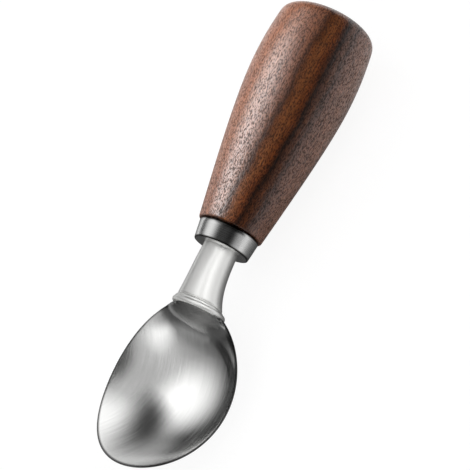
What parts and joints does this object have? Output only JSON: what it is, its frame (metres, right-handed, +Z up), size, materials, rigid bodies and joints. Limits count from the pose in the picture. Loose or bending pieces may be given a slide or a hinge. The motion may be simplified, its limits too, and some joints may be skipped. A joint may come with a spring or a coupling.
{
  "type": "ice cream scoop",
  "caption": "One-hand ice cream scoop: a dished steel bowl with a dipping edge on a flared round neck, a tapered steel ferrule and a thick turned walnut handle.",
  "frame": {"origin": "centre of the bounding box's footprint, on the table that the scoop lies on", "axes": "+X from the butt of the handle to the tip of the bowl, +Z up out of the bowl's hollow, Y across the bowl"},
  "size_m": [0.1736, 0.0478, 0.0385],
  "materials": {
    "walnut": "turned, sanded and oiled to a satin sheen",
    "ferrule_steel": "turned and finely brushed round",
    "neck_steel": "turned and blasted to a soft satin",
    "tang_steel": "as turned",
    "bond": "cured clear-amber adhesive",
    "bowl_steel": "brushed in long arcs"
  },
  "bodies": {
    "root": {"handle": "walnut", "ferrule": "ferrule_steel", "neck": "neck_steel", "tang": "tang_steel", "tang_bond": "bond", "scoop_bowl": "bowl_steel"}
  },
  "joints": []
}
